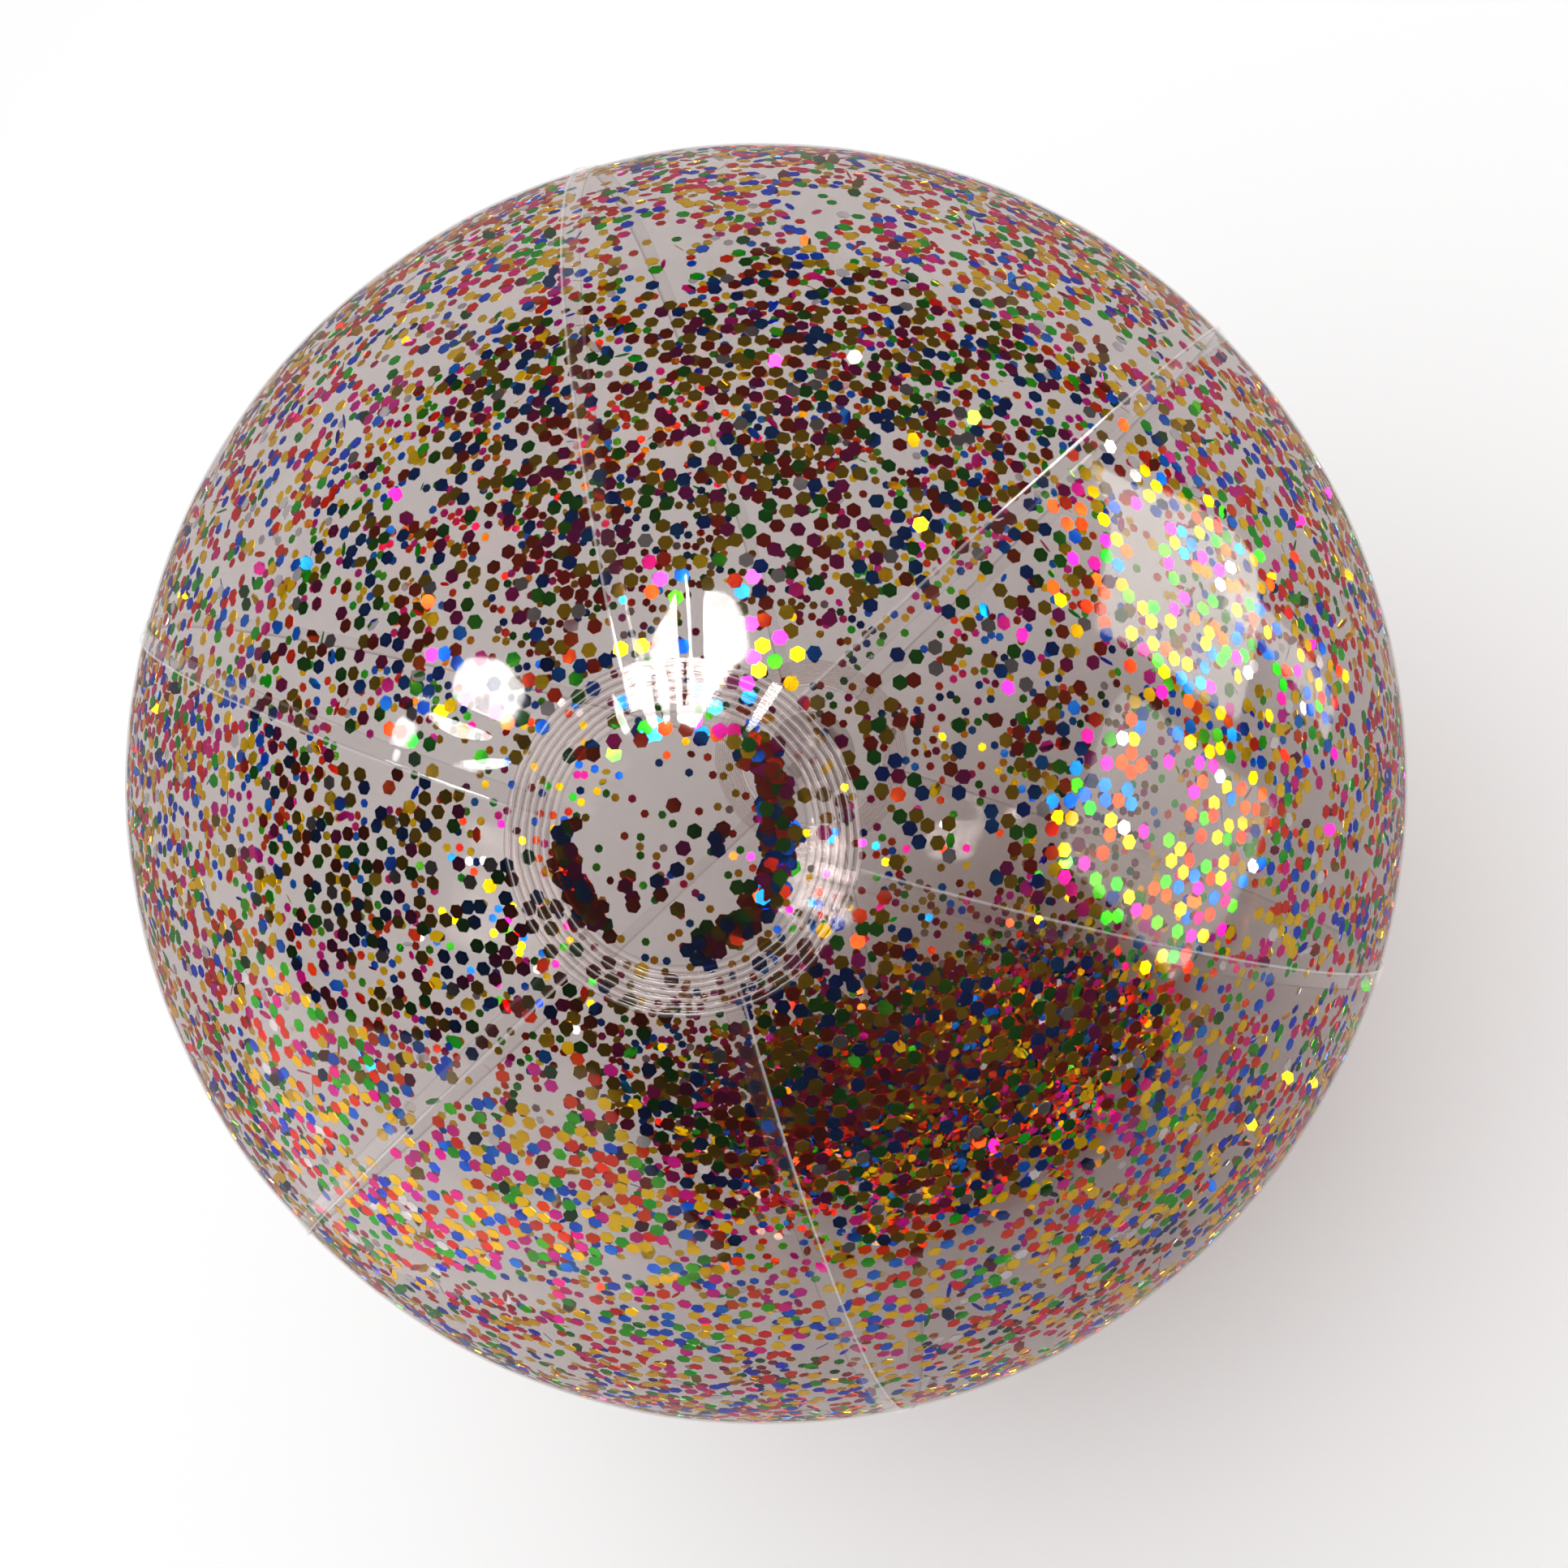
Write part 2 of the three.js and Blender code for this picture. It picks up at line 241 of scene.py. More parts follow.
def painted_rib_light(tree, tint, haze):
    """Paints light onto the pressed ribs from the piece's own rib heights: painted shade in each valley and a
    painted milky sheen on each crest.
    """
    link = tree.links.new
    rise = tree.nodes.new("ShaderNodeAttribute")
    rise.attribute_name = "rib_rise"
    valley = tree.nodes.new("ShaderNodeValToRGB")
    stops = valley.color_ramp.elements
    stops.remove(stops[1])
    stops[0].color = (1, 1, 1, 1)
    for place_on, grey in PAINTED_RIB_SHADE_TINTS:
        stops.new(place_on).color = (grey, grey, grey, 1)
    link(rise.outputs["Fac"], valley.inputs["Fac"])
    both = tree.nodes.new("ShaderNodeMix")
    both.data_type = "RGBA"
    both.blend_type = "MULTIPLY"
    both.inputs["Factor"].default_value = 1
    link(tint, both.inputs["A"])
    link(valley.outputs["Color"], both.inputs["B"])
    crest = add_node(
        tree, "ShaderNodeMapRange", From_Min=CREST_START, From_Max=1.0, To_Min=haze, To_Max=CREST_PAINTED_SHEEN)
    link(rise.outputs["Fac"], crest.inputs["Value"])
    return both.outputs["Result"], crest.outputs["Result"]


EDGE_POWER = 5


def mirror_share(tree, gloss):
    """How much a skin mirrors: the first share straight on, and the second one on top at its edge."""
    facing = add_node(tree, "ShaderNodeLayerWeight", Blend=0.5)
    steep = tree.nodes.new("ShaderNodeMath")
    steep.operation = "POWER"
    steep.inputs[1].default_value = EDGE_POWER
    tree.links.new(facing.outputs["Facing"], steep.inputs[0])
    share = tree.nodes.new("ShaderNodeMath")
    share.operation = "MULTIPLY_ADD"
    share.inputs[1].default_value = gloss[1]
    share.inputs[2].default_value = gloss[0]
    tree.links.new(steep.outputs[0], share.inputs[0])
    return share.outputs[0]


CLOUD_SCALE = 22
CLOUD_RANGE = (0.35, 0.75)
WAVE_DEPTH = 0.004
MILK_COLOUR = (0.86, 0.83, 0.83, 1)


def clear_plastic(name, clear, cloudy, haze, roughness, wave, wave_size, gloss, ribs=False):
    """A thin clear skin: clear and cloudy are its see-through colours, and haze is how milky it is."""
    material = bpy.data.materials.new(name)
    material.use_nodes = True
    tree = material.node_tree
    tree.nodes.clear()
    link = tree.links.new
    where = tree.nodes.new("ShaderNodeTexCoord")
    clouds = add_node(tree, "ShaderNodeTexNoise", Scale=CLOUD_SCALE, Detail=4, Roughness=0.6)
    link(where.outputs["Object"], clouds.inputs["Vector"])
    see_through = colour_ramp(tree, clouds.outputs["Fac"], CLOUD_RANGE, (clear, cloudy))
    milky = tree.nodes.new("ShaderNodeMixShader")
    milky.inputs[0].default_value = haze
    # On the ribbed patches, painted shade lines and painted sheen lines stand in for the light that the ribs
    # would bend.
    if ribs:
        see_through, painted_crest_sheen = painted_rib_light(tree, see_through, haze)
        link(painted_crest_sheen, milky.inputs[0])
    through = tree.nodes.new("ShaderNodeBsdfTransparent")
    link(see_through, through.inputs["Color"])
    milk = add_node(tree, "ShaderNodeBsdfDiffuse", Color=MILK_COLOUR)
    link(through.outputs[0], milky.inputs[1])
    link(milk.outputs[0], milky.inputs[2])
    waves = add_node(tree, "ShaderNodeTexNoise", Scale=wave_size, Detail=2)
    link(where.outputs["Object"], waves.inputs["Vector"])
    bump = add_node(tree, "ShaderNodeBump", Strength=wave, Distance=WAVE_DEPTH)
    link(waves.outputs["Fac"], bump.inputs["Height"])
    mirror = add_node(tree, "ShaderNodeBsdfGlossy", Color=(1, 1, 1, 1), Roughness=roughness)
    link(bump.outputs["Normal"], mirror.inputs["Normal"])
    mix = tree.nodes.new("ShaderNodeMixShader")
    link(mirror_share(tree, gloss), mix.inputs[0])
    link(milky.outputs[0], mix.inputs[1])
    link(mirror.outputs[0], mix.inputs[2])
    out = tree.nodes.new("ShaderNodeOutputMaterial")
    link(mix.outputs[0], out.inputs["Surface"])
    return material


FILM_CLEAR = (0.85, 0.826, 0.82)
FILM_CLOUDY = (0.825, 0.80, 0.794)
film_finish = clear_plastic(
    "see_through_film", FILM_CLEAR, FILM_CLOUDY,
    haze=0.003, roughness=0.055, wave=0.12, wave_size=26, gloss=(0.013, 0.12))
lap_finish = clear_plastic(
    "welded_lap", (0.985, 0.98, 0.978), (0.965, 0.96, 0.958),
    haze=0.006, roughness=0.05, wave=0.12, wave_size=60, gloss=(0.018, 0.2))
shade_finish = clear_plastic(
    "weld_shade_line", (0.94, 0.93, 0.93), (0.905, 0.895, 0.895),
    haze=0.02, roughness=0.10, wave=0.05, wave_size=90, gloss=(0.02, 0.2))
bead_finish = clear_plastic(
    "weld_bead", (0.97, 0.96, 0.96), (0.94, 0.93, 0.93),
    haze=0.17, roughness=0.12, wave=0.05, wave_size=90, gloss=(0.04, 0.2))
weld_painted_rib_finish = clear_plastic(
    "pressed_weld_film_painted_ribs", FILM_CLEAR, FILM_CLOUDY,
    haze=0.004, roughness=0.06, wave=0.10, wave_size=60, gloss=(0.022, 0.25), ribs=True)
valve_finish = clear_plastic(
    "clear_valve_moulding", (0.91, 0.90, 0.90), (0.87, 0.86, 0.86),
    haze=0.12, roughness=0.10, wave=0.10, wave_size=120, gloss=(0.04, 0.5))
print("clear finishes", film_finish.name, lap_finish.name, weld_painted_rib_finish.name, valve_finish.name)

# %% [markdown]
# A panel is one sixth of a sphere. It could be cut from a sphere, but spinning one meridian by a sixth of
# a turn gives even columns and leaves clean edges for the lap. The last edge is extruded in strips of
# constant width: a ramp that climbs over the next panel's edge, the lap itself, and the bead of melted
# film along its edge, with the dark line beside it that the bead casts. Each strip is listed as its
# width, its lift off the ball and its finish.

# %% One panel of film
PANELS = 6
PANEL_TURN = 2 * math.pi / PANELS
PANEL_COLUMNS = 48
PANEL_ROWS = 150
OPENING_RADIUS = 0.023
LAP_LIFT = 0.0005
BEAD_LIFT = 0.00012
LAP_SLOT = 1
SHADE_SLOT = 2
BEAD_SLOT = 3
LAP_STRIPS = [
    (0.0005, LAP_LIFT, LAP_SLOT),
    (0.0025, 0, LAP_SLOT),
    (0.00035, 0, SHADE_SLOT),
    (0.0004, BEAD_LIFT, BEAD_SLOT),
]
opening_angle = math.asin(OPENING_RADIUS / BALL_RADIUS)


def meridian():
    step = (math.pi - 2 * opening_angle) / PANEL_ROWS
    angles = [opening_angle + step * row for row in range(PANEL_ROWS + 1)]
    return [(BALL_RADIUS * math.sin(a), BALL_RADIUS * math.cos(a)) for a in angles]


def panel_sheet(name):
    """One panel from angle 0 to a sixth of a turn, with its lap beyond that."""
    piece = profile_piece(name, meridian())
    for finish in (film_finish, lap_finish, shade_finish, bead_finish):
        piece.data.materials.append(finish)
    edit(piece)
    bpy.ops.mesh.spin(steps=PANEL_COLUMNS, angle=-PANEL_TURN, center=(0, 0, 0), axis=(0, 0, 1))
    bpy.ops.object.mode_set(mode="OBJECT")
    end = math.copysign(PANEL_TURN, sum(v.co.y for v in piece.data.vertices))
    across = Vector((-math.sin(end), math.cos(end), 0)) * math.copysign(1, end)
    for width, lift, finish in LAP_STRIPS:
        whole = len(piece.data.polygons)
        bpy.ops.object.mode_set(mode="EDIT")
        bpy.ops.mesh.extrude_edges_move(TRANSFORM_OT_translate={"value": across * width})
        grow = 1 + lift / BALL_RADIUS
        bpy.ops.transform.resize(value=(grow, grow, grow), center_override=(0, 0, 0))
        bpy.ops.object.mode_set(mode="OBJECT")
        for face in piece.data.polygons[whole:]:
            face.material_index = finish
    edit(piece)
    bpy.ops.mesh.normals_make_consistent(inside=False)
    bpy.ops.object.mode_set(mode="OBJECT")
    return piece, end


# %% [markdown]
# Blown-up film is never a perfect ball. It puffs out between the seams, gathers in fine puckers round the
# end patches, where flat film is forced into a dome, and keeps a few sharp creases. These are heights
# over the ball's surface, half a millimetre at most, so they could be left to the finish, but real relief
# also bends the edge lines of the seams. The creases are listed by where the photograph shows their two
# ends, with their depth and their width.

# %% Relief of the film
SLACK_WAVES = [(4, 0.0003), (11, 0.00012)]
SEAM_DIP = 0.00007
SEAM_DIP_WIDTH = 0.011
PUCKER_HEIGHT = 0.00009
PUCKER_START = math.radians(10)
PUCKER_FADE = math.radians(8)
RIPPLE_SCALE = 3
FINE_SCALE = 13
FINE_SLOPE = 9
FINE_SHARE = 0.2
END_APART = 5
CREASE_REACH = 4
CREASE_TAPER = 0.1
FRONT_CREASE_PIXEL = (851, 800)
CREASES = [
    ((847, 705), (855, 878), 0.0005, 0.0013),
    ((1000, 792), (1012, 868), 0.0003, 0.0013),
    ((1060, 790), (1020, 872), 0.0003, 0.0013),
    ((520, 872), (610, 905), 0.0003, 0.0014),
    ((560, 935), (640, 925), 0.0003, 0.0014),
    ((700, 740), (735, 800), 0.0003, 0.0014),
    ((1105, 1130), (1190, 1160), 0.0003, 0.0016),
]
to_standing = LAY_OVER.to_3x3().transposed()
crease_lines = [
    (to_standing @ on_ball(*start) * BALL_RADIUS, to_standing @ on_ball(*end) * BALL_RADIUS, depth, width)
    for start, end, depth, width in CREASES
]


def from_line(point, start, end):
    along = end - start
    share = max(0, min(1, (point - start).dot(along) / along.length_squared))
    return (point - start - along * share).length, share


def seam_distance(direction):
    """How far a point of the film is from the nearest seam, along the film."""
    turn = math.atan2(direction.y, direction.x) % PANEL_TURN
    turn = min(turn, PANEL_TURN - turn)
    return BALL_RADIUS * math.hypot(direction.x, direction.y) * turn


def film_height(direction):
    point = direction * BALL_RADIUS
    height = sum(noise.noise(direction * scale) * rise for scale, rise in SLACK_WAVES)
    height -= SEAM_DIP * math.exp(-((seam_distance(direction) / SEAM_DIP_WIDTH) ** 2))
    from_end = math.acos(min(1, abs(direction.z)))
    gather = math.exp(-max(0, from_end - PUCKER_START) / PUCKER_FADE)
    turn = math.atan2(direction.y, direction.x)
    side = math.copysign(END_APART, direction.z)
    round_x = math.cos(turn)
    round_y = math.sin(turn)
    ripple = noise.noise(Vector((round_x * RIPPLE_SCALE, round_y * RIPPLE_SCALE, side)))
    fine_place = Vector((round_x * FINE_SCALE, round_y * FINE_SCALE, side + from_end * FINE_SLOPE))
    height += PUCKER_HEIGHT * gather * (ripple + FINE_SHARE * noise.noise(fine_place))
    for start, end, depth, width in crease_lines:
        away, share = from_line(point, start, end)
        if away < CREASE_REACH * width:
            along = CREASE_TAPER + (1 - 2 * CREASE_TAPER) * share
            height -= depth * math.exp(-((away / width) ** 2)) * math.sin(math.pi * along)
    return height


def relieve(piece, share=1.0):
    """Raises and lowers the points of a standing piece by the film's relief."""
    for point in piece.data.vertices:
        direction = point.co.normalized()
        point.co += direction * film_height(direction) * share


crease_relief = film_height(to_standing @ on_ball(*FRONT_CREASE_PIXEL))
print("relief at the front crease", round(crease_relief * 1000, 2), "mm")

# %% [markdown]
# The six panels are copies of one sheet, each turned to its place before the relief is put on, so that no
# two are alike. The ball is then laid over. Where a panel would go through the floor, its points are
# pressed flat by scaling them to nothing along Z, and last of all the sheet is given its thickness.

# %% The six panels, laid on the floor
FIRST_PANEL_TURN = -math.pi / 2
PANEL_SMOOTH = 30


def film_panel(number):
    piece, end = panel_sheet(f"film_panel_{number}")
    middle = FIRST_PANEL_TURN + (number - 1) * PANEL_TURN
    place(piece, Matrix.Rotation(middle - end / 2, 4, "Z"))
    relieve(piece)
    place(piece, LAY_OVER)
    below = [point.index for point in piece.data.vertices if point.co.z < 0]
    if below:
        edit(piece, "DESELECT")
        bpy.ops.object.mode_set(mode="OBJECT")
        for index in below:
            piece.data.vertices[index].select = True
        bpy.ops.object.mode_set(mode="EDIT")
        bpy.ops.transform.resize(value=(1, 1, 0), center_override=(0, 0, 0))
        bpy.ops.object.mode_set(mode="OBJECT")
    apply_modifier(piece, "SOLIDIFY", thickness=FILM, offset=-1)
    smooth(piece, PANEL_SMOOTH)
    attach(piece, "ball")
    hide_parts(f"panel_{number}")
    return piece


film_panels = [film_panel(number) for number in range(1, PANELS + 1)]
print("panels", [len(piece.data.polygons) for piece in film_panels], "faces each")

# %% [markdown]
# Each end is closed by a round patch, welded on by a tool with fine concentric ridges, which leave ribs
# in the soft film. The patch is a turned piece with the ribs in its profile. Hand-fed welding never comes
# out even, so the ribs wander a little in and out and vary in height round the ring.

# %% The two ribbed end patches
PATCH_RADIUS = 0.031
PATCH_SEAT = 0.0007
RIBS = 6
RIB_HEIGHT = 0.00042
RIB_STEPS = 8
PATCH_TURNS = 160
RIB_WANDER = 0.00035
INNER_RISE = 0.5
UNDER_STEPS = 16
FLAT_STEPS = 12
WANDER_START = 0.8
WANDER_RISE = 0.2
SLOW_SCALE = 2.5
SLOW_LAYER = 3
QUICK_SCALE = 9
QUICK_DRIFT = 400
QUICK_SHARE = 0.6
UNEVEN_RIB = 0.0002
UNEVEN_SCALE = 14
UNEVEN_DRIFT = 90
PATCH_RELIEF = 0.6
PATCH_SMOOTH = 60
VALVE_HOLE = 0.0068


def dome(distance, layer):
    """A profile point at a distance from the axis, on a layer over the ball's surface."""
    return distance, math.sqrt((BALL_RADIUS + layer) ** 2 - distance**2)


def patch_profile(hole):
    top = PATCH_SEAT + FILM
    steps = RIBS * RIB_STEPS
    under = [hole + (PATCH_RADIUS - hole) * i / UNDER_STEPS for i in range(UNDER_STEPS + 1)]
    points = [dome(distance, PATCH_SEAT) for distance in under]
    for i in range(steps, -1, -1):
        distance = OPENING_RADIUS + (PATCH_RADIUS - OPENING_RADIUS) * i / steps
        rise = math.sin(math.pi * i / RIB_STEPS) ** 2
        points.append(dome(distance, top + RIB_HEIGHT * rise))
    flat = [hole + (OPENING_RADIUS - hole) * i / FLAT_STEPS for i in range(FLAT_STEPS - 1, -1, -1)]
    points += [dome(distance, top) for distance in flat]
    return points


def wander(piece):
    """Lets the ribs of a patch run unevenly, more so towards its edge."""
    for point in piece.data.vertices:
        distance = math.hypot(point.co.x, point.co.y)
        if distance < 1e-5:
            continue
        round_x = point.co.x / distance
        round_y = point.co.y / distance
        past_start = distance - WANDER_START * OPENING_RADIUS
        share = max(0, min(1, past_start / (WANDER_RISE * OPENING_RADIUS)))
        slow = noise.noise(Vector((round_x * SLOW_SCALE, round_y * SLOW_SCALE, SLOW_LAYER)))
        quick = noise.noise(Vector((round_x * QUICK_SCALE, round_y * QUICK_SCALE, distance * QUICK_DRIFT)))
        uneven_place = Vector((round_x * UNEVEN_SCALE, round_y * UNEVEN_SCALE, distance * UNEVEN_DRIFT))
        shift = share * RIB_WANDER * (slow + QUICK_SHARE * quick)
        point.co.x += round_x * shift
        point.co.y += round_y * shift
        point.co.z += share * UNEVEN_RIB * noise.noise(uneven_place)


def mark_ribs(piece):
    """Keeps each point's height on its rib, from which the finish paints shade and sheen along the ribs."""
    rises = piece.data.attributes.new("rib_rise", "FLOAT", "POINT")
    for point in piece.data.vertices:
        ring = (math.hypot(point.co.x, point.co.y) - OPENING_RADIUS) / (PATCH_RADIUS - OPENING_RADIUS)
        outer = point.co.length > BALL_RADIUS + PATCH_SEAT + 0.5 * FILM
        if 0 <= ring <= 1:
            rise = math.sin(math.pi * RIBS * ring) ** 2 if outer else INNER_RISE
            rises.data[point.index].value = RING_START + (1 - RING_START) * rise


def end_patch(name, hole, flip, node):
    piece = turned_piece(name, patch_profile(hole), PATCH_TURNS, closed=hole > 0)
    mark_ribs(piece)
    wander(piece)
    if flip:
        place(piece, Matrix.Rotation(math.pi, 4, "X"))
    relieve(piece, PATCH_RELIEF)
    place(piece, LAY_OVER)
    smooth(piece, PATCH_SMOOTH)
    finish_piece(piece, "ball", weld_painted_rib_finish, node)
    return piece


plain_patch = end_patch("ribbed_plain_patch", 0, False, "plain_end_patch")
valve_patch = end_patch("ribbed_valve_patch", VALVE_HOLE, True, "valve_end_patch")
print("end patches", len(plain_patch.data.polygons), len(valve_patch.data.polygons), "faces")

# %% [markdown]
# The valve is a soft clear moulding: a flange welded to the far patch with a collar through it, a tube
# that pushes into the collar, and a plug on a strap. They are turned pieces with softened edges. The
# strap is one band that folds back on itself.

# %% Valve base, stem, plug and flap
VALVE_TURNS = 72
VALVE_SMOOTH = 50
EDGE_STEPS = 3
EDGE_ANGLE = math.radians(35)
EDGE_ROUND = 0.0002
FLAP_EDGE_ROUND = 0.0001
COLLAR_BORE = 0.0053
COLLAR_RADIUS = 0.0065
COLLAR_BOTTOM = -0.004
FLANGE_SHOULDER = 0.0075
FLANGE_MIDDLE = 0.0100
FLANGE_RADIUS = 0.0140
FLANGE_SEAT = 0.0012
FLANGE_EDGE_TOP = 0.0017
FLANGE_TOP = 0.00206
STEM_BORE = 0.0034
STEM_RADIUS = 0.0050
STEM_BOTTOM = -0.01154
RIM_RADIUS = 0.0068
RIM_BOTTOM = 0.00236
RIM_TOP = 0.00346
PLUG_BOTTOM = -0.00154
PLUG_TAPER = [(0.00198, PLUG_BOTTOM), (0.00260, 0.00046), (0.00305, 0.00246)]
PLUG_NECK = 0.00309
HEAD_RADIUS = 0.0062
HEAD_TOP_RADIUS = 0.0053
HEAD_BOTTOM = 0.00376
HEAD_SHOULDER = 0.00466
HEAD_TOP = 0.00516
FLAP_RADIUS = 0.0042
FLAP_BOTTOM = -0.01234
FLAP_TOP = -0.01184


def far_dome(distance, layer):
    """The height of the far patch's dome at a distance from the valve's axis."""
    return math.sqrt((BALL_RADIUS + layer) ** 2 - distance**2) - BALL_RADIUS


def valve_piece(name, profile, body, node, closed=True, edge=EDGE_ROUND):
    piece = turned_piece(name, profile, VALVE_TURNS, closed)
    apply_modifier(
        piece, "BEVEL", width=edge, segments=EDGE_STEPS, limit_method="ANGLE", angle_limit=EDGE_ANGLE)
    place(piece, ON_FAR_END)
    smooth(piece, VALVE_SMOOTH)
    finish_piece(piece, body, valve_finish, node)
    return piece


flange_profile = [
    (COLLAR_BORE, COLLAR_BOTTOM),
    (COLLAR_RADIUS, COLLAR_BOTTOM),
    (COLLAR_RADIUS, far_dome(COLLAR_RADIUS, FLANGE_SEAT)),
    (FLANGE_MIDDLE, far_dome(FLANGE_MIDDLE, FLANGE_SEAT)),
    (FLANGE_RADIUS, far_dome(FLANGE_RADIUS, FLANGE_SEAT)),
    (FLANGE_RADIUS, far_dome(FLANGE_RADIUS, FLANGE_EDGE_TOP)),
    (FLANGE_MIDDLE, FLANGE_EDGE_TOP),
    (FLANGE_SHOULDER, FLANGE_TOP),
    (COLLAR_BORE, FLANGE_TOP),
]
tube_profile = [
    (STEM_BORE, STEM_BOTTOM),
    (STEM_RADIUS, STEM_BOTTOM),
    (STEM_RADIUS, RIM_BOTTOM),
    (RIM_RADIUS, RIM_BOTTOM),
    (RIM_RADIUS, RIM_TOP),
    (STEM_BORE, RIM_TOP),
]
stopper_profile = [
    (0, PLUG_BOTTOM),
    *PLUG_TAPER,
    (PLUG_NECK, HEAD_BOTTOM),
    (HEAD_RADIUS, HEAD_BOTTOM),
    (HEAD_RADIUS, HEAD_SHOULDER),
    (HEAD_TOP_RADIUS, HEAD_TOP),
    (0, HEAD_TOP),
]
flap_profile = [(0, FLAP_BOTTOM), (FLAP_RADIUS, FLAP_BOTTOM), (FLAP_RADIUS, FLAP_TOP), (0, FLAP_TOP)]
valve_base = valve_piece("valve_flange", flange_profile, "ball", "valve_base")
valve_stem = valve_piece("valve_tube", tube_profile, "stem", "valve_stem")
plug_body = valve_piece("valve_stopper", stopper_profile, "plug", "valve_plug", closed=False)
flap_disc = valve_piece("valve_flap", flap_profile, "flap", "check_flap", closed=False, edge=FLAP_EDGE_ROUND)
print("valve pieces", [piece.name for piece in (valve_base, valve_stem, plug_body, flap_disc)])

# %% The plug's folded strap and its pull tab
STRAP_REACH = 0.0105
STRAP_WIDTH = 0.005
STRAP_THICKNESS = 0.0008
STRAP_LOW = 0.00281
STRAP_HIGH = 0.00421
STRAP_ROOT = 0.0060
STRAP_BEND = 0.0080
STRAP_TIP = 0.0056
FOLD_STEPS = 12
TAB_PATH = [(-0.0052, STRAP_HIGH), (-0.0072, STRAP_HIGH), (-0.0092, STRAP_HIGH + 0.0002)]
TAB_THICKNESS = 0.0009
HINGE_LEVEL = -0.01209
HINGE_PATH = [(0.0040, HINGE_LEVEL), (0.0045, HINGE_LEVEL)]
HINGE_WIDTH = 0.003
HINGE_THICKNESS = 0.0005
BAND_ROUND = 0.3


def flat_band(name, path, width, thickness):
    """A band that follows a path in the XZ plane, as wide as given along Y."""
    piece = profile_piece(name, path)
    edit(piece)
    bpy.ops.transform.translate(value=(0, -width / 2, 0))
    bpy.ops.mesh.extrude_edges_move(TRANSFORM_OT_translate={"value": (0, width, 0)})
    bpy.ops.object.mode_set(mode="OBJECT")
    apply_modifier(piece, "SOLIDIFY", thickness=thickness, offset=0)
    apply_modifier(piece, "BEVEL", width=thickness * BAND_ROUND, segments=EDGE_STEPS, limit_method="ANGLE")
    place(piece, ON_FAR_END)
    smooth(piece, VALVE_SMOOTH)
    return piece


fold_radius = (STRAP_HIGH - STRAP_LOW) / 2
fold_level = (STRAP_LOW + STRAP_HIGH) / 2
fold_angles = [math.pi * i / FOLD_STEPS for i in range(FOLD_STEPS + 1)]
fold = [
    (STRAP_REACH - fold_radius + fold_radius * math.sin(a), fold_level - fold_radius * math.cos(a))
    for a in fold_angles
]
lower_run = [(STRAP_ROOT, STRAP_LOW), (STRAP_BEND, STRAP_LOW)]
upper_run = [(STRAP_BEND, STRAP_HIGH), (STRAP_TIP, STRAP_HIGH)]
strap = flat_band("plug_strap", lower_run + fold + upper_run, STRAP_WIDTH, STRAP_THICKNESS)
strap.data.materials.append(valve_finish)
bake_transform(strap)
pull_tab = flat_band("plug_pull_tab", TAB_PATH, STRAP_WIDTH, TAB_THICKNESS)
finish_piece(pull_tab, "plug", valve_finish)
flap_tab = flat_band("flap_hinge_tab", HINGE_PATH, HINGE_WIDTH, HINGE_THICKNESS)
finish_piece(flap_tab, "flap", valve_finish)
print("strap", len(strap.data.polygons), "faces, bends between stem and plug")

# %% [markdown]
# The glitter is foil cut in small hexagons. Where there are more flakes and where fewer is written down
# as a short list of soft-edged spots, as they are seen in the photograph on the near and on the
# far film: the pixel at a spot's middle, its half width and half height in pixels, and how much it adds.
# Static draws the flakes together in small clumps, which a noise stands for. Seams and end patches stay
# clearer, as in the photograph.

# %% Where the glitter lies
FLAKE_RADIUS = 0.00145
FLAKE_THICKNESS = 0.00012
CLINGING_FLAKES = 15000
FAR_SHARE = 0.42
FLAKE_SPACING = 0.0022
CLUMPS = 2.2
CLUMP_SCALE = 8
FINE_CLUMP_SCALE = 19
FINE_CLUMP_SHARE = 0.7
BAREST = 0.08
MOST_DENSE = 7.0
CLING_SEED = 11
NEAR_SPOTS = [
    (1020, 500, 330, 190, 1.8), (760, 420, 170, 140, 0.6), (740, 650, 200, 120, 1.9),
    (1440, 1060, 170, 180, 0.7), (420, 1120, 200, 160, 0.6), (700, 1510, 200, 120, 1.5),
    (330, 800, 150, 150, 0.5), (1480, 640, 120, 150, 0.3), (790, 1330, 160, 90, 1.9),
    (500, 560, 160, 170, -0.55), (1330, 560, 90, 120, -0.5), (480, 1390, 130, 100, 1.0),
    (1180, 1420, 300, 100, 0.8), (1200, 1270, 160, 60, -0.5), (540, 880, 90, 70, -0.45),
    (900, 280, 140, 40, -0.7), (300, 690, 90, 60, -0.6), (565, 1110, 60, 110, -0.6),
    (430, 1480, 130, 120, 0.9), (1450, 450, 130, 110, 0.9), (690, 1280, 110, 70, 0.9),
    (1075, 950, 60, 100, 0.9),
]
FAR_SPOTS = [
    (1200, 1340, 230, 150, 2.5), (890, 1350, 190, 110, 2.0), (1080, 560, 260, 170, 1.2),
    (700, 620, 190, 140, 1.4), (560, 900, 160, 150, -0.3), (830, 1040, 190, 170, -0.75),
    (1380, 900, 160, 220, 0.4), (900, 620, 190, 100, 0.9), (1060, 960, 60, 120, 0.9),
]
RING_SHARE = 0.4
PLAIN_PATCH_SHARE = 0.12
SEAM_SHARE = 0.25
SEAM_CLEAR = 0.006
plain_end = LAY_OVER.to_3x3() @ Vector((0, 0, 1))
patch_angle = math.asin(PATCH_RADIUS / BALL_RADIUS)
neighbour_steps = list(product((-1, 0, 1), repeat=3))


def clumping(direction):
    """How far static has drawn the flakes together here: about 0.1 in a bare place, 2 in a clump."""
    broad = noise.noise(direction * CLUMP_SCALE)
    fine = noise.noise(direction * FINE_CLUMP_SCALE)
    return max(BAREST, 1 + CLUMPS * (broad + FINE_CLUMP_SHARE * fine))


